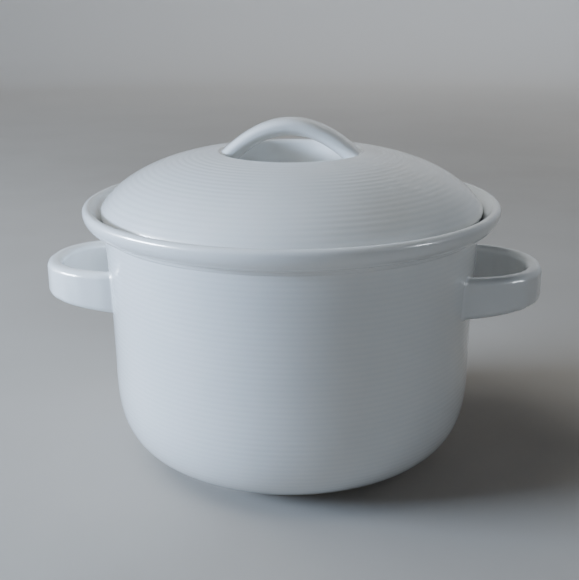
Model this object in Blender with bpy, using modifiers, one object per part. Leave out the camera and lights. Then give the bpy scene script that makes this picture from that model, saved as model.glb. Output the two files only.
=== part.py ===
"""A lidded stoneware casserole: a turned pot with two strap handles, and a domed lid that lifts off.

Sizes are metres. +Z is up, +X runs through the two side handles, and the origin is the middle of the
ring that the pot stands on. An outline is a list of (radius, height) points, which is turned about Z.
"""

import math

import bmesh
import bpy
from mathutils import Vector

OBJECT_NAME = "lidded_casserole"
TURN_STEPS = 60
GAP = 0.0003

# Pot: a straight wall on a rounded belly, under a lip that flares out.
RIM_RADIUS = 0.105
RIM_HEIGHT = 0.1348
WALL = 0.005
NECK_RADIUS = 0.0946
NECK_HEIGHT = 0.120
BELLY_RADIUS = 0.0925
BELLY_WIDTH = 0.0474
BELLY_HEIGHT = 0.0508
BELLY_POWER = 3.2

# Lip: a small bead on top, and below it a fat outer roll that curls under until it nearly faces down.
BEAD = 0.0024
LIP_ROLL = 0.0086
LIP_TUCK = 85.0

# Foot: a ring under the belly, with the pot's underside raised inside it.
FOOT_OUTER = 0.064
FOOT_INNER = 0.058
FOOT_EDGE = 0.0008
UNDERSIDE_HEIGHT = 0.0029

# Seat: the flat ledge inside the lip, which the lid rests on.
SEAT_HEIGHT = 0.1277
SEAT_OUTER = 0.0948
SEAT_EDGE = 0.0012

# Lid: a dome that falls from the recess's rim to a rounded edge, with a locating flange below.
LID_RADIUS = 0.0962
LID_EDGE_HEIGHT = 0.1319
LID_EDGE_WIDTH = 0.002
LID_WALL = 0.0055
DOME_RISE = 0.02865
DOME_POWER = 3.0
DOME_FULLNESS = 0.735
FLANGE_OUTER = 0.087
FLANGE_THICKNESS = 0.004
FLANGE_BOTTOM = 0.1185

# Recess: a round bowl in the middle of the lid, bridged by the lid's handle.
RECESS_RADIUS = 0.035
RECESS_FLOOR = 0.143
RECESS_FILLET = 0.006
RECESS_RIM = 0.002

# Side handles: straps bent round in plan, whose lower edge rises towards the outer end.
HANDLE_REACH = 0.1275
HANDLE_ROOT = 0.080
HANDLE_HALF_WIDTH = 0.0342
HANDLE_PLAN_POWER = 2.3
HANDLE_THICKNESS = 0.0079
HANDLE_TOP = 0.1036
HANDLE_BOTTOM = 0.0819
HANDLE_BOTTOM_RISE = 0.0036
HANDLE_EDGE = 0.0033

# Lid handle: a strap on a parabola, whose ends run down into the recess's wall. Its section is a
# superellipse that is flatter on the outer side than on the inner one.
GRIP_TOP = 0.1755
GRIP_THICKNESS = 0.0086
GRIP_WIDTH = 0.019
GRIP_OUTER_POWER = 3.0
GRIP_INNER_POWER = 2.0
GRIP_DROP = 15.1
GRIP_HALF_SPAN = 0.0385

GLAZE = (0.80, 0.80, 0.77, 1.0)
HANDLE_GLAZE = (0.81, 0.81, 0.79, 1.0)


def clear_scene():
    for leftover in list(bpy.data.objects):
        bpy.data.objects.remove(leftover)


def new_collection(name):
    collection = bpy.data.collections.new(name)
    bpy.context.scene.collection.children.link(collection)
    return collection


def add_object(name, mesh, collection):
    piece = bpy.data.objects.new(name, mesh)
    collection.objects.link(piece)
    return piece


def glazed(piece, colour, roughness):
    """Gives a piece its own glossy ceramic material."""
    material = bpy.data.materials.new(piece.name + "_glaze")
    material.use_nodes = True
    shader = material.node_tree.nodes["Principled BSDF"]
    shader.inputs["Base Color"].default_value = colour
    shader.inputs["Roughness"].default_value = roughness
    shader.inputs["Metallic"].default_value = 0.0
    material.diffuse_color = colour
    piece.data.materials.append(material)


def arc(centre, half_width, half_height, start, end, steps, power=2.0):
    """Points of a superellipse about centre. Angles are in degrees, from +radius towards +Z."""
    points = []
    for step in range(steps + 1):
        angle = math.radians(start + (end - start) * step / steps)
        across = math.copysign(abs(math.cos(angle)) ** (2 / power), math.cos(angle))
        up = math.copysign(abs(math.sin(angle)) ** (2 / power), math.sin(angle))
        points.append((centre[0] + half_width * across, centre[1] + half_height * up))
    return points


def turned(name, outline, collection):
    """Turns an outline about Z. Its outer side runs from top to bottom, and its ends are on the axis."""
    mesh = bpy.data.meshes.new(name)
    points = [(radius, 0.0, height) for radius, height in outline]
    edges = [(index, index + 1) for index in range(len(points) - 1)]
    mesh.from_pydata(points, edges, [])
    piece = add_object(name, mesh, collection)
    screw = piece.modifiers.new("turn", "SCREW")
    screw.steps = TURN_STEPS
    screw.render_steps = TURN_STEPS
    screw.use_merge_vertices = True
    screw.merge_threshold = 1e-5
    screw.use_smooth_shade = True
    return piece


def as_cutter(piece):
    piece.hide_render = True
    piece.display_type = "WIRE"
    return piece


def cut(piece, cutter):
    boolean = piece.modifiers.new("cut_" + cutter.name, "BOOLEAN")
    boolean.operation = "DIFFERENCE"
    boolean.solver = "EXACT"
    boolean.object = cutter


def belly(inset, start, end, steps):
    """The rounded corner between the wall and the underside, or the same corner inset by a wall."""
    centre = (BELLY_RADIUS - BELLY_WIDTH, UNDERSIDE_HEIGHT + BELLY_HEIGHT)
    half_width = BELLY_WIDTH - inset
    half_height = BELLY_HEIGHT - inset
    return arc(centre, half_width, half_height, start, end, steps, BELLY_POWER)


def wall_radius(height):
    """The pot's outer radius, which widens slowly from the belly to the neck."""
    belly_top = UNDERSIDE_HEIGHT + BELLY_HEIGHT
    share = max(0.0, (height - belly_top) / (NECK_HEIGHT - belly_top))
    return BELLY_RADIUS + (NECK_RADIUS - BELLY_RADIUS) * share**1.5


def wall(inset, bottom, top, steps):
    """Wall points from bottom to top, without the first."""
    heights = [bottom + (top - bottom) * step / steps for step in range(1, steps + 1)]
    return [(wall_radius(height) - inset, height) for height in heights]


def foot_angle():
    """The belly angle at which the foot ring's outer face meets it, in degrees."""
    share = (FOOT_OUTER - BELLY_RADIUS + BELLY_WIDTH) / BELLY_WIDTH
    return -math.degrees(math.acos(share ** (BELLY_POWER / 2)))


def pot_outline():
    """From the middle of the floor up the inside, over the lip and down the outside to the foot."""
    belly_top = UNDERSIDE_HEIGHT + BELLY_HEIGHT
    inner_neck = NECK_RADIUS - WALL
    bead_centre = (RIM_RADIUS - BEAD, RIM_HEIGHT - BEAD)
    roll_centre = (RIM_RADIUS - LIP_ROLL, bead_centre[1])
    roll = arc(roll_centre, LIP_ROLL, LIP_ROLL, 0, -LIP_TUCK, 6)
    roll_end, roll_bottom = roll[-1]
    tuck = math.radians(LIP_TUCK)
    neck_fillet = (roll_end - NECK_RADIUS) / (1 - math.cos(tuck))
    fillet_centre = (NECK_RADIUS + neck_fillet, roll_bottom - neck_fillet * math.sin(tuck))

    outline = [(0.0, UNDERSIDE_HEIGHT + WALL)]
    outline += belly(WALL, -90, 0, 7)
    outline += wall(WALL, belly_top, SEAT_HEIGHT - SEAT_EDGE, 3)
    seat_corner = (inner_neck + SEAT_EDGE, SEAT_HEIGHT - SEAT_EDGE)
    outline += arc(seat_corner, SEAT_EDGE, SEAT_EDGE, 150, 90, 2)
    outline += [(SEAT_OUTER - SEAT_EDGE, SEAT_HEIGHT), (SEAT_OUTER, SEAT_HEIGHT + SEAT_EDGE / 3)]
    outline += arc(bead_centre, BEAD, BEAD, 140, 0, 5) + roll[1:]
    outline += arc(fillet_centre, neck_fillet, neck_fillet, 180 - LIP_TUCK, 180, 3)[1:]
    outline += reversed(wall(0.0, belly_top, fillet_centre[1] - neck_fillet / 2, 4))
    outline += belly(0.0, 0, foot_angle(), 9)
    outline += [(FOOT_OUTER - FOOT_EDGE / 4, FOOT_EDGE), (FOOT_OUTER - FOOT_EDGE, 0.0)]
    outline += [(FOOT_INNER + FOOT_EDGE, 0.0), (FOOT_INNER, FOOT_EDGE)]
    outline += [(FOOT_INNER - FOOT_EDGE, UNDERSIDE_HEIGHT), (0.0, UNDERSIDE_HEIGHT)]
    return outline


def dome_height(radius):
    return LID_EDGE_HEIGHT + DOME_RISE * (1 - (radius / LID_RADIUS) ** DOME_POWER) ** DOME_FULLNESS


def dome(inner, outer, steps):
    """Dome points from an inner radius to an outer one, closer together where the dome is steeper."""
    points = []
    for step in range(steps + 1):
        radius = inner + (outer - inner) * math.sin(math.radians(90) * step / steps)
        points.append((radius, dome_height(radius)))
    return points


def recess_outline(clearance):
    """The recess's surface from its middle to its rim, moved by clearance into the open side."""
    wall_face = RECESS_RADIUS - clearance
    rim_radius = RECESS_RADIUS + RECESS_RIM
    rim_centre = (rim_radius, dome_height(rim_radius) - RECESS_RIM)
    fillet_centre = (RECESS_RADIUS - RECESS_FILLET, RECESS_FLOOR + RECESS_FILLET)
    fillet = RECESS_FILLET - clearance
    outline = [(0.0, RECESS_FLOOR + clearance)]
    outline += arc(fillet_centre, fillet, fillet, -90, 0, 4)
    outline += [(wall_face, rim_centre[1])]
    rim = RECESS_RIM + clearance
    return outline + arc(rim_centre, rim, rim, 180, 90, 4)[1:]


def lid_outline():
    """From the middle of the recess, over the dome and the edge, and back along the underside."""
    dome_start = RECESS_RADIUS + RECESS_RIM
    edge_centre = (LID_RADIUS - LID_EDGE_WIDTH, LID_EDGE_HEIGHT)
    edge_drop = LID_EDGE_HEIGHT - SEAT_HEIGHT - GAP
    flange_inner = FLANGE_OUTER - FLANGE_THICKNESS
    under_radius = flange_inner - LID_WALL / 2
    shell_radius = RECESS_RADIUS + LID_WALL
    fillet_centre = (RECESS_RADIUS - RECESS_FILLET, RECESS_FLOOR + RECESS_FILLET)
    fillet = RECESS_FILLET + LID_WALL

    outline = recess_outline(0.0)
    outline += dome(dome_start, LID_RADIUS, 12)[1:]
    outline += arc(edge_centre, LID_EDGE_WIDTH, edge_drop, 0, -90, 4)[1:]
    outline += [(FLANGE_OUTER, SEAT_HEIGHT + GAP), (FLANGE_OUTER, FLANGE_BOTTOM + FLANGE_THICKNESS / 2)]
    flange_tip = ((FLANGE_OUTER + flange_inner) / 2, FLANGE_BOTTOM + FLANGE_THICKNESS / 2)
    outline += arc(flange_tip, FLANGE_THICKNESS / 2, FLANGE_THICKNESS / 2, 0, -180, 4)[1:]
    outline += [(flange_inner, dome_height(flange_inner) - LID_WALL * 1.5)]
    for radius in (under_radius, 0.07, 0.057, shell_radius + LID_WALL / 2):
        outline += [(radius, dome_height(radius) - LID_WALL)]
    outline += arc(fillet_centre, fillet, fillet, 0, -90, 4)
    return outline + [(0.0, RECESS_FLOOR - LID_WALL)]


def side_handle_section(height):
    """A rounded rectangle: (across the thickness, along the height) points about its middle."""
    points = []
    for quarter, (side, end) in enumerate([(1, 1), (-1, 1), (-1, -1), (1, -1)]):
        centre = (side * (HANDLE_THICKNESS / 2 - HANDLE_EDGE), end * (height / 2 - HANDLE_EDGE))
        points += arc(centre, HANDLE_EDGE, HANDLE_EDGE, 90 * quarter, 90 * quarter + 90, 2)
    return points


def lofted(name, rings, collection):
    """A closed solid through rings of points, one ring after another, with a flat face on each end."""
    shape = bmesh.new()
    loops = [[shape.verts.new(point) for point in ring] for ring in rings]
    for before, after in zip(loops, loops[1:]):
        for index in range(len(before)):
            follower = (index + 1) % len(before)
            shape.faces.new((before[index], before[follower], after[follower], after[index]))
    shape.faces.new(loops[0])
    shape.faces.new(loops[-1])
    bmesh.ops.recalc_face_normals(shape, faces=shape.faces)
    mesh = bpy.data.meshes.new(name)
    shape.to_mesh(mesh)
    shape.free()
    mesh.shade_smooth()
    mesh.set_sharp_from_angle(angle=math.radians(50))
    return add_object(name, mesh, collection)


def side_handle_rings():
    """Sections of the handle on the +X side, from its root at -Y round to its root at +Y."""
    middle_reach = HANDLE_REACH - HANDLE_THICKNESS / 2 - HANDLE_ROOT
    line = arc((HANDLE_ROOT, 0.0), middle_reach, HANDLE_HALF_WIDTH, -90, 90, 22, HANDLE_PLAN_POWER)
    rings = []
    for index, (x, y) in enumerate(line):
        before = line[max(index - 1, 0)]
        after = line[min(index + 1, len(line) - 1)]
        along = Vector((after[0] - before[0], after[1] - before[1], 0.0)).normalized()
        across = Vector((along.y, -along.x, 0.0))
        bottom = HANDLE_BOTTOM + HANDLE_BOTTOM_RISE * (x - HANDLE_ROOT) / middle_reach
        middle = Vector((x, y, (HANDLE_TOP + bottom) / 2))
        section = side_handle_section(HANDLE_TOP - bottom)
        rings.append([middle + across * out + Vector((0.0, 0.0, up)) for out, up in section])
    return rings


def lid_handle_rings():
    """Sections of the lid's handle, from its -X end over the top to its +X end."""
    steps = 20
    half_thickness = GRIP_THICKNESS / 2
    half_width = GRIP_WIDTH / 2
    section = arc((0.0, 0.0), half_thickness, half_width, -90, 90, 8, GRIP_OUTER_POWER)
    section += arc((0.0, 0.0), half_thickness, half_width, 90, 270, 8, GRIP_INNER_POWER)[1:-1]
    rings = []
    for step in range(steps + 1):
        x = GRIP_HALF_SPAN * (2 * step / steps - 1)
        middle = Vector((x, 0.0, GRIP_TOP - GRIP_THICKNESS / 2 - GRIP_DROP * x * x))
        outward = Vector((2 * GRIP_DROP * x, 0.0, 1.0)).normalized()
        rings.append([middle + outward * out + Vector((0.0, side, 0.0)) for out, side in section])
    return rings


def make_pot(parts):
    glazed(turned("pot", pot_outline(), parts), GLAZE, 0.28)


def make_side_handles(parts, cutters):
    top = HANDLE_TOP + WALL
    bottom = HANDLE_BOTTOM - WALL
    cutter_wall = [(radius + GAP, height) for radius, height in wall(0.0, top, bottom, 3)]
    top_radius = wall_radius(top) + GAP
    outline = [(0.0, top), (top_radius, top)] + cutter_wall + [(0.0, bottom)]
    cutter = as_cutter(turned("pot_wall_space", outline, cutters))
    for name, turn in (("right_handle", 0.0), ("left_handle", math.pi)):
        handle = lofted(name, side_handle_rings(), parts)
        handle.rotation_euler.z = turn
        cut(handle, cutter)
        glazed(handle, HANDLE_GLAZE, 0.26)


def make_lid(parts, cutters):
    lift_axis = bpy.data.objects.new("lid_lift_axis", None)
    parts.objects.link(lift_axis)
    lid = turned("lid", lid_outline(), parts)
    glazed(lid, GLAZE, 0.30)

    recess = recess_outline(GAP)
    far = (RECESS_RADIUS * 2, recess[-1][1])
    outline = recess + [far, (far[0], RECESS_FLOOR - LID_WALL), (0.0, RECESS_FLOOR - LID_WALL)]
    cutter = as_cutter(turned("recess_wall_space", outline, cutters))
    handle = lofted("lid_handle", lid_handle_rings(), parts)
    cut(handle, cutter)
    glazed(handle, HANDLE_GLAZE, 0.26)
    for piece in (lid, handle):
        piece.parent = lift_axis


def main():
    clear_scene()
    parts = new_collection(OBJECT_NAME)
    cutters = new_collection("cutters")
    make_pot(parts)
    make_side_handles(parts, cutters)
    make_lid(parts, cutters)


main()
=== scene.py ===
import math

import bpy
import numpy as np
from mathutils import Matrix, Vector


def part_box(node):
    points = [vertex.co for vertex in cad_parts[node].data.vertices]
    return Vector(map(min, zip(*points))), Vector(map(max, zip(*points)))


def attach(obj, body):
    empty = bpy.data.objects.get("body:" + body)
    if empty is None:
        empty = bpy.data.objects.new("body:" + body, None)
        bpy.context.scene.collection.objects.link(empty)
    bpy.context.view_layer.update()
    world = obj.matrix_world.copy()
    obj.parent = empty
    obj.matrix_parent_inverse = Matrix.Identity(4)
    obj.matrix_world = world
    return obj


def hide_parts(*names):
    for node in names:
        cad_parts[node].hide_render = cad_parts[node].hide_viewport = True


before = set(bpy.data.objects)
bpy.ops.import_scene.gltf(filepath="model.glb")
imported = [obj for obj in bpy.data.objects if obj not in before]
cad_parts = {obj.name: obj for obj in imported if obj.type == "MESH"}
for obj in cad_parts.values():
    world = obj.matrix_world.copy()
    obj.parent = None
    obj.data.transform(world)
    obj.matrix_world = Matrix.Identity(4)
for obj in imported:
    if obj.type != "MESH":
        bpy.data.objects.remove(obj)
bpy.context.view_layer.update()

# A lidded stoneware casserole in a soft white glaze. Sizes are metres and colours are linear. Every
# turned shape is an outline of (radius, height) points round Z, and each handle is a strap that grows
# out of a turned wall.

POT_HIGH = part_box("pot")[1]
LID_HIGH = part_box("lid")[1]
SIDE_LOW, SIDE_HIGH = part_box("right_handle")
GRIP_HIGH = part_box("lid_handle")[1]

# Pot: a nearly straight wall on a rounded belly, under a lip that flares out.
RIM_RADIUS = POT_HIGH.x
RIM_HEIGHT = POT_HIGH.z
WALL = 0.005
NECK_RADIUS = 0.0946
NECK_HEIGHT = 0.1212
NECK_LEAN = 2.7
BELLY_RADIUS = 0.0925
BELLY_WIDTH = 0.0474
BELLY_HEIGHT = 0.0508
BELLY_POWER = 3.2
UNDERSIDE_HEIGHT = 0.0029
BELLY_TOP = UNDERSIDE_HEIGHT + BELLY_HEIGHT
WALL_CURVE = 1.5
FOOT_OUTER = 0.064
FOOT_INNER = 0.058
FOOT_EDGE = 0.0008
SEAT_HEIGHT = 0.1277
SEAT_OUTER = 0.0957
SEAT_EDGE = 0.0012

# Lip: a small bead on top, and below it a fat outer roll that curls under until it nearly faces down.
BEAD = 0.0024
LIP_ROLL = 0.0086
LIP_TUCK = 85.0

# Lid: a dome with a round recess in its middle, and a locating flange below.
LID_RADIUS = LID_HIGH.x
LID_EDGE_HEIGHT = 0.1319
LID_EDGE_WIDTH = 0.002
LID_REST = 0.128
LID_WALL = 0.0055
DOME_RISE = 0.02865
DOME_POWER = 3.0
DOME_FULLNESS = 0.735
FLANGE_OUTER = 0.087
FLANGE_THICKNESS = 0.004
FLANGE_BOTTOM = 0.1185
RECESS_RADIUS = 0.035
RECESS_FLOOR = 0.143
RECESS_FILLET = 0.006
RECESS_RIM = 0.002
RECESS_FILLET_CENTRE = (RECESS_RADIUS - RECESS_FILLET, RECESS_FLOOR + RECESS_FILLET)
RECESS_SHELL_RADIUS = 0.044

# Grooves left by turning. The pitch is measured along the surface, and the fades are the lengths over
# which the grooves die out at the start and the end of the outline. Each wave of pressure is (share of
# the depth, waves in a turn, radians of drift from one groove to the next).
BODY_PITCH = 0.0027
BODY_GROOVE = 0.00004
BODY_FADES = (0.003, 0.005)
LID_PITCH = 0.00316
LID_GROOVE = 0.00008
LID_LAST_GROOVE = 0.0034
LID_FADES = (0.012, 0.002)
GROOVE_SHARPNESS = 1.4
GROOVE_PRESSURE = ((0.18, 2, 0.9), (0.12, 5, -0.4))

# How the turned meshes are cut. Rows are closer together where a plain stretch of outline bends more.
POINTS_PER_GROOVE = 6
TURN_SEGMENTS = 192
FOOT_ROWS = 0.0003
EDGE_ROWS = 0.0004
LIP_ROWS = 0.0005
FLANGE_ROWS = 0.0006
LEDGE_ROWS = 0.0008
RECESS_ROWS = 0.001
SHELL_ROWS = 0.0015
DOME_UNDERSIDE_ROWS = 0.002
INSIDE_ROWS = 0.0028
UNDERSIDE_ROWS = 0.0035

# Side handles: straps bent round in plan. Lid handle: a strap on a parabola, whose section is a
# superellipse that is flatter on the outer side than on the inner one. Its middle line falls by
# GRIP_DROP times x squared.
SIDE_ROOT = 0.080
SIDE_HALF_WIDTH = 0.0342
SIDE_PLAN_POWER = 2.3
SIDE_THICKNESS = 0.0079
SIDE_BOTTOM_RISE = 0.0036
SIDE_EDGE = 0.0033
SIDE_RIPPLE = 0.00007
SIDE_RIPPLE_WAVES = (24, 15)
GRIP_THICKNESS = 0.0086
GRIP_WIDTH = 0.019
GRIP_OUTER_POWER = 3.0
GRIP_INNER_POWER = 2.0
GRIP_DROP = 15.1
GRIP_HALF_SPAN = 0.0385

# Where a strap joins a wall, it spreads in a fillet and runs a little way into the clay.
LUTE_RADIUS = 0.001
LUTE_DEPTH = 0.0015
STRAP_STEPS = 120
SECTION_POINTS = 40
HALVINGS = 30

# Glaze, and the bare clay of the foot, which ends between the two heights of BARE_CLAY_TOP. Noise
# scales are features per metre. Each relief is (noise scale, height in metres, strength).
WHITE_GREY = (0.725, 0.735, 0.728)
WHITE = (0.750, 0.757, 0.745)
WHITE_POOLED = (0.60, 0.635, 0.65)
SPECKLE = (0.55, 0.53, 0.49)
CLAY_DARK = (0.50, 0.44, 0.36)
CLAY_PALE = (0.64, 0.58, 0.49)
BARE_CLAY_TOP = (0.0014, 0.0018)
BARE_CLAY_WOBBLE = 0.0009
WOBBLE_SCALE = 140
CLAY_SCALE = 2600
CLAY_ROUGHNESS = 0.85
CLOUD_SCALE = 30
SPECKLE_SCALE = 1400
SPECKLE_SHARE = 0.05
POOLED_SHARE = 0.2
GLOSS_SCALE = 75
GLAZE_ROUGHNESS = (0.28, 0.36)
GLAZE_RELIEFS = ((260, 0.0004, 0.03), (1500, 0.0001, 0.02))
GLAZE_IOR = 1.52
COAT_ROUGHNESS = 0.12

# The studio round the casserole: a floor, a cove and a wall.
STUDIO_RADIUS = 2.6
STUDIO_COVE = 0.6
STUDIO_HEIGHT = 3.0
STUDIO_SIDES = 96
# From STUDIO_PALE_FROM out, the floor is painted paler: painted light for the far floor, which the lamps
# barely reach.
STUDIO_PALE_FROM = 0.6
FLOOR_DARK = (0.375, 0.345, 0.31)
FLOOR_LIGHT = (0.395, 0.365, 0.33)
STUDIO_PALE = (0.80, 0.775, 0.74)
FLOOR_SCALE = 6
FLOOR_ROUGHNESS = 0.8
ROOM_COLOUR = (0.92, 0.94, 1.0, 1.0)
ROOM_STRENGTH = 0.01
LIGHTS_AIM = (0.0, 0.0, 0.067)

# Camera: where it stands, and how it is turned from facing +Y.
CAMERA_DISTANCE = 0.4907
CAMERA_HEIGHT = 0.2376
CAMERA_AZIMUTH = math.radians(4.2)
CAMERA_TURN = math.radians(0.137)
CAMERA_TILT = math.radians(17.21)
CAMERA_ROLL = math.radians(0.26)
CAMERA_ANGLE = math.radians(32.97)

# Where Blender's Mix node keeps its colours. Its other sockets are for other kinds of data.
MIX_FIRST, MIX_SECOND, MIX_RESULT = 6, 7, 2


def superellipse(centre, half_width, half_height, degrees, power=2.0):
    """The point of a superellipse at an angle in degrees, measured from +radius towards +Z."""
    angle = math.radians(degrees)
    across = math.copysign(abs(math.cos(angle)) ** (2 / power), math.cos(angle))
    up = math.copysign(abs(math.sin(angle)) ** (2 / power), math.sin(angle))
    return centre[0] + half_width * across, centre[1] + half_height * up


def arc(centre, half_width, half_height, start, end, steps, power=2.0):
    """Points of a superellipse from one angle to another, in degrees."""
    angles = [start + (end - start) * step / steps for step in range(steps + 1)]
    return [superellipse(centre, half_width, half_height, angle, power) for angle in angles]


def bend(centre, radius, start, end, steps):
    """Points of a circle from one angle to another, in degrees."""
    return arc(centre, radius, radius, start, end, steps)


def smooth_step(share):
    """0 below 0, 1 above 1, and an S-shaped curve between them."""
    share = np.clip(share, 0.0, 1.0)
    return share * share * (3 - 2 * share)


def evenly(outline, spacing):
    """The same outline as rows of (radius, height), about a spacing apart along it."""
    points = np.array(outline)
    along = np.concatenate([[0.0], np.cumsum(np.linalg.norm(np.diff(points, axis=0), axis=1))])
    count = max(2, round(along[-1] / spacing) + 1)
    places = np.linspace(0.0, along[-1], count)
    return np.column_stack([np.interp(places, along, points[:, axis]) for axis in (0, 1)])


def plain(outline, spacing):
    """Rows of (radius, height, groove share) with no grooves."""
    points = evenly(outline, spacing)
    return np.column_stack([points, np.zeros(len(points))])


def grooved(outline, pitch, groove_at, fades):
    """Rows with a groove every pitch. groove_at is how far along one of them lies."""
    points = evenly(outline, pitch / POINTS_PER_GROOVE)
    steps = np.linalg.norm(np.diff(points, axis=0), axis=1)
    along = np.concatenate([[0.0], np.cumsum(steps)])
    wave = 0.5 + 0.5 * np.cos(2 * math.pi * (along - groove_at) / pitch)
    fade_in, fade_out = fades
    fade = np.minimum(smooth_step(along / fade_in), smooth_step((along[-1] - along) / fade_out))
    return np.column_stack([points, wave**GROOVE_SHARPNESS * fade])


def joined(*stretches):
    """One outline out of stretches that meet end to end, with no point twice."""
    rows = np.concatenate(stretches)
    apart = np.linalg.norm(np.diff(rows[:, :2], axis=0), axis=1) > 1e-6
    return rows[np.concatenate([[True], apart])]


def mesh_object(name, points, faces, groove=None):
    """A smooth mesh in the scene. groove is how deep in a groove each point is, from 0 to 1."""
    mesh = bpy.data.meshes.new(name)
    mesh.from_pydata(points.tolist(), [], faces)
    mesh.shade_smooth()
    if groove is not None:
        mesh.attributes.new("groove", "FLOAT", "POINT").data.foreach_set("value", groove)
    piece = bpy.data.objects.new(name, mesh)
    bpy.context.scene.collection.objects.link(piece)
    return piece


def turned(name, rows, groove_depth):
    """Turns rows of (radius, height, groove share) about Z. The first and last are on the axis.

    The open side is on the left of the outline as it runs. A groove is a little deeper on some sides
    than on others, as a hand-held tool leaves it.
    """
    outline, groove = rows[:, :2], rows[:, 2]
    tangent = np.gradient(outline, axis=0)
    tangent /= np.linalg.norm(tangent, axis=1)[:, None]
    outward = np.column_stack([-tangent[:, 1], tangent[:, 0]])

    turn = np.arange(TURN_SEGMENTS) * 2 * math.pi / TURN_SEGMENTS
    place = np.arange(len(rows))[:, None] / POINTS_PER_GROOVE
    pressure = 1.0
    for share, waves, drift in GROOVE_PRESSURE:
        pressure = pressure + share * np.sin(waves * turn + drift * place)
    depth = groove[:, None] * groove_depth * pressure
    radius = outline[:, :1] - outward[:, :1] * depth
    height = outline[:, 1:] - outward[:, 1:] * depth
    grid = np.stack([radius * np.cos(turn), radius * np.sin(turn), height + 0 * turn], axis=-1)

    ring_count = len(rows) - 2
    poles = grid[[0, -1], 0] * [0, 0, 1]
    points = np.concatenate([grid[1:-1].reshape(-1, 3), poles])
    shares = np.concatenate([np.repeat(groove[1:-1], TURN_SEGMENTS), [0.0, 0.0]])
    first_pole = ring_count * TURN_SEGMENTS
    last_ring = first_pole - TURN_SEGMENTS
    faces = []
    for side in range(TURN_SEGMENTS):
        after = (side + 1) % TURN_SEGMENTS
        faces.append((first_pole, side, after))
        faces.append((last_ring + side, first_pole + 1, last_ring + after))
        for ring in range(0, last_ring, TURN_SEGMENTS):
            below = ring + TURN_SEGMENTS
            faces.append((ring + side, below + side, below + after, ring + after))
    return mesh_object(name, points, faces, shares)


def belly(inset, start, end):
    """The rounded corner between the wall and the underside, or the same corner inset by a wall."""
    centre = (BELLY_RADIUS - BELLY_WIDTH, BELLY_TOP)
    return arc(centre, BELLY_WIDTH - inset, BELLY_HEIGHT - inset, start, end, 60, BELLY_POWER)


def wall_radius(height):
    """The pot's outer radius, which widens slowly from the belly to the neck."""
    share = max(0.0, (height - BELLY_TOP) / (NECK_HEIGHT - BELLY_TOP))
    return BELLY_RADIUS + (NECK_RADIUS - BELLY_RADIUS) * share**WALL_CURVE


def wall(inset, bottom, top):
    """The pot's outer wall between two heights, or the same stretch inset by a wall."""
    heights = np.linspace(bottom, top, 40)
    return [(wall_radius(height) - inset, height) for height in heights]


def foot_angle():
    """The belly angle at which the foot ring's outer face meets it, in degrees."""
    share = (FOOT_OUTER - BELLY_RADIUS + BELLY_WIDTH) / BELLY_WIDTH
    return -math.degrees(math.acos(share ** (BELLY_POWER / 2)))


def pot_rows():
    """From the middle of the floor up the inside, over the lip and down the outside to the foot."""
    inner_neck = NECK_RADIUS - WALL
    bead_centre = (RIM_RADIUS - BEAD, RIM_HEIGHT - BEAD)
    roll_centre = (RIM_RADIUS - LIP_ROLL, bead_centre[1])
    roll = bend(roll_centre, LIP_ROLL, 0, -LIP_TUCK, 60)
    roll_end, roll_bottom = roll[-1]
    tuck = math.radians(LIP_TUCK)
    neck_fillet = (roll_end - NECK_RADIUS) / (1 - math.cos(tuck))
    fillet_centre = (NECK_RADIUS + neck_fillet, roll_bottom - neck_fillet * math.sin(tuck))
    seat_corner = (inner_neck + SEAT_EDGE, SEAT_HEIGHT - SEAT_EDGE)
    seat_fillet = (SEAT_OUTER - SEAT_EDGE, SEAT_HEIGHT + SEAT_EDGE)

    inside = [(0.0, UNDERSIDE_HEIGHT + WALL)] + belly(WALL, -90, 0)
    inside += wall(WALL, BELLY_TOP, seat_corner[1])
    seat = bend(seat_corner, SEAT_EDGE, 180, 90, 12)
    seat += bend(seat_fillet, SEAT_EDGE, -90, -45, 8)
    lip = bend(bead_centre, BEAD, 140, 0, 30) + roll[1:]
    neck = bend(fillet_centre, neck_fillet, 180 - LIP_TUCK, 180 - NECK_LEAN, 16)
    outside = wall(0.0, BELLY_TOP, neck[-1][1])[::-1] + belly(0.0, 0, foot_angle())
    foot_face = (FOOT_OUTER - FOOT_EDGE, FOOT_EDGE)
    foot_back = (FOOT_INNER + FOOT_EDGE, FOOT_EDGE)
    hollow = (FOOT_INNER - FOOT_EDGE, UNDERSIDE_HEIGHT - FOOT_EDGE)
    foot = bend(foot_face, FOOT_EDGE, 0, -90, 8)
    foot += bend(foot_back, FOOT_EDGE, -90, -180, 8)
    foot += bend(hollow, FOOT_EDGE, 0, 90, 8)
    return joined(
        plain(inside, INSIDE_ROWS),
        plain(seat, LIP_ROWS),
        plain([seat[-1], lip[0]], LEDGE_ROWS),
        plain(lip, LIP_ROWS),
        plain(neck, EDGE_ROWS),
        grooved(outside, BODY_PITCH, 0.0, BODY_FADES),
        plain([outside[-1], foot[0]], LIP_ROWS),
        plain(foot, FOOT_ROWS),
        plain([foot[-1], (0.0, UNDERSIDE_HEIGHT)], UNDERSIDE_ROWS),
    )


def dome_height(radius):
    """The height of the dome's outer surface, without its grooves."""
    share = min(1.0, radius / LID_RADIUS)
    return LID_EDGE_HEIGHT + DOME_RISE * (1 - share**DOME_POWER) ** DOME_FULLNESS


def dome(inner, outer):
    """Dome points from an inner radius to an outer one, closer together where the dome is steeper."""
    shares = 1 - np.linspace(1, 0, 400) ** 2
    return [(radius, dome_height(radius)) for radius in inner + (outer - inner) * shares]


def recess_rim_centre():
    """Where the centre of the recess's rounded rim is, as (radius, height)."""
    radius = RECESS_RADIUS + RECESS_RIM
    return radius, dome_height(radius) - RECESS_RIM


def recess():
    """The recess's surface from its middle up to its rim, and then the rim."""
    bowl = [(0.0, RECESS_FLOOR)] + bend(RECESS_FILLET_CENTRE, RECESS_FILLET, -90, 0, 24)
    return bowl, bend(recess_rim_centre(), RECESS_RIM, 180, 90, 12)


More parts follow.
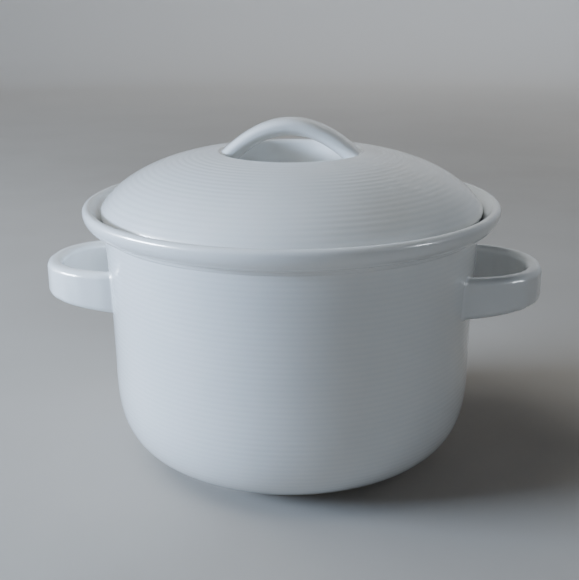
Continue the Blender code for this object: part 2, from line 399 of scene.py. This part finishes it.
def lid_rows():
    """From the middle of the recess, over the dome and the edge, and back along the underside."""
    bowl, rim = recess()
    top = dome(rim[-1][0], LID_RADIUS)
    edge_centre = (LID_RADIUS - LID_EDGE_WIDTH, LID_EDGE_HEIGHT)
    edge = arc(edge_centre, LID_EDGE_WIDTH, LID_EDGE_HEIGHT - LID_REST, 0, -90, 20)
    flange_inner = FLANGE_OUTER - FLANGE_THICKNESS
    half = FLANGE_THICKNESS / 2
    root = bend((FLANGE_OUTER + half, LID_REST - half), half, 90, 180, 8)
    tip = bend((FLANGE_OUTER - half, FLANGE_BOTTOM + half), half, 0, -180, 16)
    under_radii = np.linspace(flange_inner - half, RECESS_SHELL_RADIUS, 60)
    under = [(radius, dome_height(radius) - LID_WALL) for radius in under_radii]
    shell = bend(RECESS_FILLET_CENTRE, RECESS_FILLET + LID_WALL, 0, -90, 24)
    shell += [(0.0, RECESS_FLOOR - LID_WALL)]
    length = sum(math.dist(a, b) for a, b in zip(top, top[1:]))
    return joined(
        plain(bowl, RECESS_ROWS),
        plain([bowl[-1], rim[0]], RECESS_ROWS),
        plain(rim, EDGE_ROWS),
        grooved(top, LID_PITCH, length - LID_LAST_GROOVE, LID_FADES),
        plain(edge, EDGE_ROWS),
        plain([edge[-1], root[0]], RECESS_ROWS),
        plain(root, FLANGE_ROWS),
        plain([root[-1], tip[0]], RECESS_ROWS),
        plain(tip, FLANGE_ROWS),
        plain([tip[-1], (flange_inner, under[0][1] - half), under[0]], RECESS_ROWS),
        plain(under, DOME_UNDERSIDE_ROWS),
        plain([under[-1], shell[0]], RECESS_ROWS),
        plain(shell, SHELL_ROWS),
    )


def recess_clearance(point):
    """How far a point is inside the recess's open space. It is negative in the clay."""
    radius = math.hypot(point.x, point.y)
    height = point.z
    rim_radius, rim_height = recess_rim_centre()
    fillet_radius, fillet_height = RECESS_FILLET_CENTRE
    if height > rim_height:
        return math.hypot(rim_radius - radius, height - rim_height) - RECESS_RIM
    if height > fillet_height:
        return RECESS_RADIUS - radius
    return RECESS_FILLET - math.hypot(max(0.0, radius - fillet_radius), fillet_height - height)


def wall_clearance(point):
    """How far a point is outside the pot's wall. It is negative in the clay."""
    return math.hypot(point.x, point.y) - wall_radius(point.z)


def side_frame(share):
    """(middle, outward axis, upward axis, section) of the +X handle, for a share from -1 to 1.

    The strap ripples a little, as one bent by hand does.
    """
    middle_reach = SIDE_HIGH.x - SIDE_THICKNESS / 2 - SIDE_ROOT

    def place(angle):
        return superellipse((SIDE_ROOT, 0.0), middle_reach, SIDE_HALF_WIDTH, angle, SIDE_PLAN_POWER)

    angle = 90 * share
    nudge = 0.2
    before, here, after = place(max(-90, angle - nudge)), place(angle), place(min(90, angle + nudge))
    along = Vector((after[0] - before[0], after[1] - before[1], 0.0)).normalized()
    bottom = SIDE_LOW.z + SIDE_BOTTOM_RISE * (here[0] - SIDE_ROOT) / middle_reach
    outward = Vector((along.y, -along.x, 0.0))
    ripple = SIDE_RIPPLE * sum(math.sin(waves * math.radians(angle)) for waves in SIDE_RIPPLE_WAVES)
    middle = Vector((here[0], here[1], (SIDE_HIGH.z + bottom) / 2)) + outward * ripple
    section = rounded_section(SIDE_THICKNESS, SIDE_HIGH.z - bottom, SIDE_EDGE)
    return middle, outward, Vector((0, 0, 1)), section


def grip_frame(share):
    """(middle, outward axis, sideways axis, section) of the lid's handle, for a share from -1 to 1."""
    x = GRIP_HALF_SPAN * share
    middle = Vector((x, 0.0, GRIP_HIGH.z - GRIP_THICKNESS / 2 - GRIP_DROP * x * x))
    outward = Vector((2 * GRIP_DROP * x, 0.0, 1.0)).normalized()
    section = crowned_section(GRIP_THICKNESS / 2, GRIP_WIDTH / 2)
    return middle, outward, Vector((0, 1, 0)), section


def crowned_section(half_thickness, half_width):
    """The lid handle's section as (point, outward direction) pairs about its middle."""
    section = []
    for step in range(SECTION_POINTS):
        angle = 360 * step / SECTION_POINTS
        power = GRIP_OUTER_POWER if angle < 90 or angle > 270 else GRIP_INNER_POWER
        slope_power = power / (power - 1)
        place = superellipse((0.0, 0.0), half_thickness, half_width, angle, power)
        slope = superellipse((0.0, 0.0), 1 / half_thickness, 1 / half_width, angle, slope_power)
        section.append((Vector(place), Vector(slope).normalized()))
    return section


def rounded_section(thickness, width, edge):
    """A rounded rectangle as (point, outward direction) pairs about its middle."""
    corner_steps = SECTION_POINTS // 4 - 1
    section = []
    for quarter, (side, end) in enumerate([(1, 1), (-1, 1), (-1, -1), (1, -1)]):
        centre = Vector((side * (thickness / 2 - edge), end * (width / 2 - edge)))
        for step in range(corner_steps + 1):
            angle = math.radians(90 * (quarter + step / corner_steps))
            outward = Vector((math.cos(angle), math.sin(angle)))
            section.append((centre + edge * outward, outward))
    return section


def lute(clearance):
    """How far the strap's surface spreads at a clearance from the wall: a quarter-round fillet."""
    reach = min(max(clearance, 0.0), LUTE_RADIUS)
    return LUTE_RADIUS - math.sqrt(LUTE_RADIUS**2 - (LUTE_RADIUS - reach) ** 2)


def strap(name, frame_at, clearance):
    """A strap along frame_at whose two ends are the same shape, each run a little into the clay."""

    def surface(share, index):
        middle, outward_axis, side_axis, section = frame_at(share)
        point, direction = section[index]
        place = middle + outward_axis * point.x + side_axis * point.y
        return place, outward_axis * direction.x + side_axis * direction.y

    def end_share(index):
        """The share, near -1, at which this edge line of the strap is a lute's depth inside the clay."""
        deep, open_side = -1.0, -0.5
        for _ in range(HALVINGS):
            middle = (deep + open_side) / 2
            if clearance(surface(middle, index)[0]) < -LUTE_DEPTH:
                deep = middle
            else:
                open_side = middle
        return deep

    around = SECTION_POINTS
    ends = [end_share(index) for index in range(around)]
    rings = []
    for step in range(STRAP_STEPS + 1):
        sweep = math.cos(math.pi * step / STRAP_STEPS)
        for index in range(around):
            place, direction = surface(sweep * ends[index], index)
            rings.append(place + direction * lute(clearance(place)))
    faces = [tuple(range(around)), tuple(range(len(rings) - around, len(rings)))[::-1]]
    for start in range(0, len(rings) - around, around):
        for index in range(around):
            after = (index + 1) % around
            faces.append((start + index, start + around + index, start + around + after, start + after))
    return mesh_object(name, np.array(rings), faces)


class Shader:
    """A material's node tree, with short calls for the nodes that the glaze and the floor share."""

    def __init__(self, name):
        self.material = bpy.data.materials.new(name)
        self.material.use_nodes = True
        self.tree = self.material.node_tree
        self.surface = self.tree.nodes["Principled BSDF"]
        self.place = self.add("ShaderNodeTexCoord").outputs["Object"]

    def add(self, kind, **settings):
        node = self.tree.nodes.new(kind)
        for key, value in settings.items():
            setattr(node, key, value)
        return node

    def link(self, source, target):
        self.tree.links.new(source, target)

    def noise(self, scale, detail, roughness=0.5):
        """Smooth noise from 0 to 1. Scale is in features per metre."""
        node = self.add("ShaderNodeTexNoise")
        self.link(self.place, node.inputs["Vector"])
        node.inputs["Scale"].default_value = scale
        node.inputs["Detail"].default_value = detail
        node.inputs["Roughness"].default_value = roughness
        return node.outputs["Fac"]

    def ranged(self, source, low, high, new_low, new_high):
        """A value that runs smoothly from new_low to new_high while the source runs from low to high."""
        node = self.add("ShaderNodeMapRange", interpolation_type="SMOOTHSTEP")
        self.link(source, node.inputs["Value"])
        ends = {"From Min": low, "From Max": high, "To Min": new_low, "To Max": new_high}
        for socket, value in ends.items():
            node.inputs[socket].default_value = value
        return node.outputs["Result"]

    def mix(self, share, first, second):
        """A colour between two others. Either colour may be a socket."""
        node = self.add("ShaderNodeMix", data_type="RGBA")
        self.link(share, node.inputs["Factor"])
        for socket, colour in ((node.inputs[MIX_FIRST], first), (node.inputs[MIX_SECOND], second)):
            if isinstance(colour, tuple):
                socket.default_value = (*colour, 1.0)
            else:
                self.link(colour, socket)
        return node.outputs[MIX_RESULT]

    def math(self, operation, first, second):
        """A Math node on two values. Each is a number with a decimal point, or a socket."""
        node = self.add("ShaderNodeMath", operation=operation)
        for socket, value in zip(node.inputs, (first, second)):
            if isinstance(value, float):
                socket.default_value = value
            else:
                self.link(value, socket)
        return node.outputs[0]

    def bump(self, height, distance, strength, under=None):
        """A normal for a relief of that height in metres, laid over the normal of another relief."""
        node = self.add("ShaderNodeBump")
        node.inputs["Distance"].default_value = distance
        node.inputs["Strength"].default_value = strength
        self.link(height, node.inputs["Height"])
        if under is not None:
            self.link(under, node.inputs["Normal"])
        return node.outputs["Normal"]


def glaze(name, bare_foot=False):
    """Soft white glaze that pools cooler in the grooves, with a faint orange peel and fine speckle."""
    shader = Shader(name)
    cloudy = shader.ranged(shader.noise(CLOUD_SCALE, 3), 0.35, 0.65, 0.0, 1.0)
    colour = shader.mix(cloudy, WHITE_GREY, WHITE)
    pooled = shader.add("ShaderNodeAttribute", attribute_name="groove").outputs["Fac"]
    colour = shader.mix(shader.math("MULTIPLY", pooled, POOLED_SHARE), colour, WHITE_POOLED)
    speckle = shader.ranged(shader.noise(SPECKLE_SCALE, 2, 0.6), 0.62, 0.74, 0.0, SPECKLE_SHARE)
    colour = shader.mix(speckle, colour, SPECKLE)
    roughness = shader.ranged(shader.noise(GLOSS_SCALE, 4, 0.6), 0.3, 0.7, *GLAZE_ROUGHNESS)
    normal = None
    for scale, height, strength in GLAZE_RELIEFS:
        normal = shader.bump(shader.noise(scale, 2), height, strength, normal)

    if bare_foot:
        place = shader.add("ShaderNodeSeparateXYZ")
        shader.link(shader.place, place.inputs["Vector"])
        wobble = shader.math("MULTIPLY", shader.noise(WOBBLE_SCALE, 2), BARE_CLAY_WOBBLE)
        edge = shader.math("ADD", place.outputs["Z"], wobble)
        bare = shader.ranged(edge, *BARE_CLAY_TOP, 1.0, 0.0)
        grain = shader.ranged(shader.noise(CLAY_SCALE, 3, 0.7), 0.35, 0.7, 0.0, 1.0)
        clay = shader.mix(grain, CLAY_DARK, CLAY_PALE)
        colour = shader.mix(bare, colour, clay)
        roughness = shader.math("MAXIMUM", roughness, shader.math("MULTIPLY", bare, CLAY_ROUGHNESS))

    shader.link(colour, shader.surface.inputs["Base Color"])
    shader.link(roughness, shader.surface.inputs["Roughness"])
    shader.link(normal, shader.surface.inputs["Normal"])
    shader.surface.inputs["IOR"].default_value = GLAZE_IOR
    shader.surface.inputs["Coat Weight"].default_value = 1.0
    shader.surface.inputs["Coat Roughness"].default_value = COAT_ROUGHNESS
    return shader.material


def studio_surface():
    """A matt warm floor that turns paler with the distance, up to the wall. The paleness is painted light:
    it stands in for light that the lamps don't bring to the far floor.
    """
    shader = Shader("pale_studio")
    grain = shader.ranged(shader.noise(FLOOR_SCALE, 4), 0.35, 0.65, 0.0, 1.0)
    near = shader.mix(grain, FLOOR_DARK, FLOOR_LIGHT)
    distance = shader.add("ShaderNodeVectorMath", operation="LENGTH")
    shader.link(shader.place, distance.inputs["Vector"])
    # Painted light: the floor turns paler with the distance, where the lamps give it little light.
    far = shader.ranged(distance.outputs["Value"], STUDIO_PALE_FROM, STUDIO_RADIUS, 0.0, 1.0)
    colour = shader.mix(far, near, STUDIO_PALE)
    shader.link(colour, shader.surface.inputs["Base Color"])
    shader.surface.inputs["Roughness"].default_value = FLOOR_ROUGHNESS
    shader.surface.inputs["Specular IOR Level"].default_value = 0.0
    return shader.material


def finish_piece(piece, material, body, node):
    """Glazes a piece, hangs it on the empty of the body that it rides on, and hides the CAD node that it
    replaces.
    """
    piece.data.materials.append(material)
    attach(piece, body)
    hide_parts(node)


def make_pot():
    pot = turned("casserole_pot", pot_rows(), BODY_GROOVE)
    finish_piece(pot, glaze("pot_glaze", bare_foot=True), "pot", "pot")


def make_side_handles():
    material = glaze("side_handle_glaze")
    sides = (("right_loop_handle", "right_handle", 0.0), ("left_loop_handle", "left_handle", math.pi))
    for name, node, turn in sides:
        handle = strap(name, side_frame, wall_clearance)
        handle.rotation_euler.z = turn
        finish_piece(handle, material, "pot", node)


def make_lid():
    finish_piece(turned("casserole_lid", lid_rows(), LID_GROOVE), glaze("lid_glaze"), "lid", "lid")
    bridge = strap("lid_bridge_handle", grip_frame, recess_clearance)
    finish_piece(bridge, glaze("lid_handle_glaze"), "lid", "lid_handle")


def make_studio():
    """A flat round floor that turns up into a wall all round, with the lights inside it."""
    outline = bend((STUDIO_RADIUS - STUDIO_COVE, STUDIO_COVE), STUDIO_COVE, -90, 0, 24)
    outline += [(STUDIO_RADIUS, STUDIO_HEIGHT)]
    turn = [2 * math.pi * side / STUDIO_SIDES for side in range(STUDIO_SIDES)]
    points = [(0.0, 0.0, 0.0)]
    for radius, height in outline:
        points += [(radius * math.cos(angle), radius * math.sin(angle), height) for angle in turn]
    last_ring = len(points) - STUDIO_SIDES
    faces = []
    for side in range(STUDIO_SIDES):
        after = (side + 1) % STUDIO_SIDES
        faces.append((0, 1 + side, 1 + after))
        for ring in range(1, last_ring, STUDIO_SIDES):
            above = ring + STUDIO_SIDES
            faces.append((ring + side, above + side, above + after, ring + after))
    studio = mesh_object("studio", np.array(points), faces)
    studio.data.materials.append(studio_surface())


def lamp_place(azimuth, elevation, distance):
    """A place round the point that the lights aim at. Azimuth is in degrees from +X towards +Y."""
    turn, rise = math.radians(azimuth), math.radians(elevation)
    level = distance * math.cos(rise)
    out = Vector((level * math.cos(turn), level * math.sin(turn), distance * math.sin(rise)))
    return Vector(LIGHTS_AIM) + out


def area_light(name, place, size, power, colour, aim=LIGHTS_AIM, diffuse=True, glossy=True):
    """A rectangle of light that the camera doesn't see. Its matt or its glossy effect can be left out."""
    light = bpy.data.lights.new(name, "AREA")
    light.shape = "RECTANGLE"
    light.size, light.size_y = size
    light.energy = power
    light.color = colour
    lamp = bpy.data.objects.new(name, light)
    lamp.location = place
    lamp.visible_camera = False
    lamp.visible_diffuse = diffuse
    lamp.visible_glossy = glossy
    facing = Vector(aim) - lamp.location
    lamp.rotation_euler = facing.to_track_quat("-Z", "Y").to_euler()
    bpy.context.scene.collection.objects.link(lamp)


def make_lights():
    """Cool windows on the left, soft light from above and behind, a wash on the wall, and two glints."""
    area_light("low_window", lamp_place(176, 5, 1.3), (0.60, 0.22), 2.0, (0.80, 0.88, 1.0))
    area_light("side_window", lamp_place(194, 14, 1.3), (0.60, 0.20), 42.0, (0.545, 0.725, 1.0))
    area_light("skylight", lamp_place(180, 60, 1.4), (1.00, 1.00), 13.5, (0.935, 0.98, 1.0), glossy=False)
    area_light("back_window", lamp_place(45, 10, 1.5), (0.60, 0.40), 1.8, (1.0, 0.96, 0.92), glossy=False)
    area_light("wall_wash", (0.2, 1.7, 1.3), (1.6, 0.6), 5.0, (1.0, 0.98, 0.96), aim=(0.2, 2.4, 0.1))
    area_light("left_glint", lamp_place(194, 14, 1.3), (0.60, 0.12), 55.0, (0.90, 0.95, 1.0), diffuse=False)
    area_light("right_glint", lamp_place(-17, 10, 1.3), (0.20, 0.30), 4.0, (0.85, 0.93, 1.0), diffuse=False)
    world = bpy.data.worlds.new("soft_room")
    world.use_nodes = True
    background = world.node_tree.nodes["Background"]
    background.inputs["Color"].default_value = ROOM_COLOUR
    background.inputs["Strength"].default_value = ROOM_STRENGTH
    bpy.context.scene.world = world


def make_camera():
    """A camera higher than the lid, on the -Y side and a little towards +X, that looks slightly down."""
    camera = bpy.data.cameras.new("camera")
    camera.sensor_fit = "HORIZONTAL"
    camera.angle = CAMERA_ANGLE
    camera.clip_start = 0.01
    holder = bpy.data.objects.new("camera", camera)
    out = Vector((math.sin(CAMERA_AZIMUTH), -math.cos(CAMERA_AZIMUTH), 0.0))
    place = out * CAMERA_DISTANCE + Vector((0.0, 0.0, CAMERA_HEIGHT))
    heading = Matrix.Rotation(CAMERA_AZIMUTH + CAMERA_TURN, 4, "Z")
    tilt = Matrix.Rotation(math.pi / 2 - CAMERA_TILT, 4, "X")
    roll = Matrix.Rotation(-CAMERA_ROLL, 4, "Z")
    holder.matrix_world = Matrix.Translation(place) @ heading @ tilt @ roll
    bpy.context.scene.collection.objects.link(holder)
    bpy.context.scene.camera = holder


make_camera()
make_pot()
make_side_handles()
make_lid()
make_studio()
make_lights()
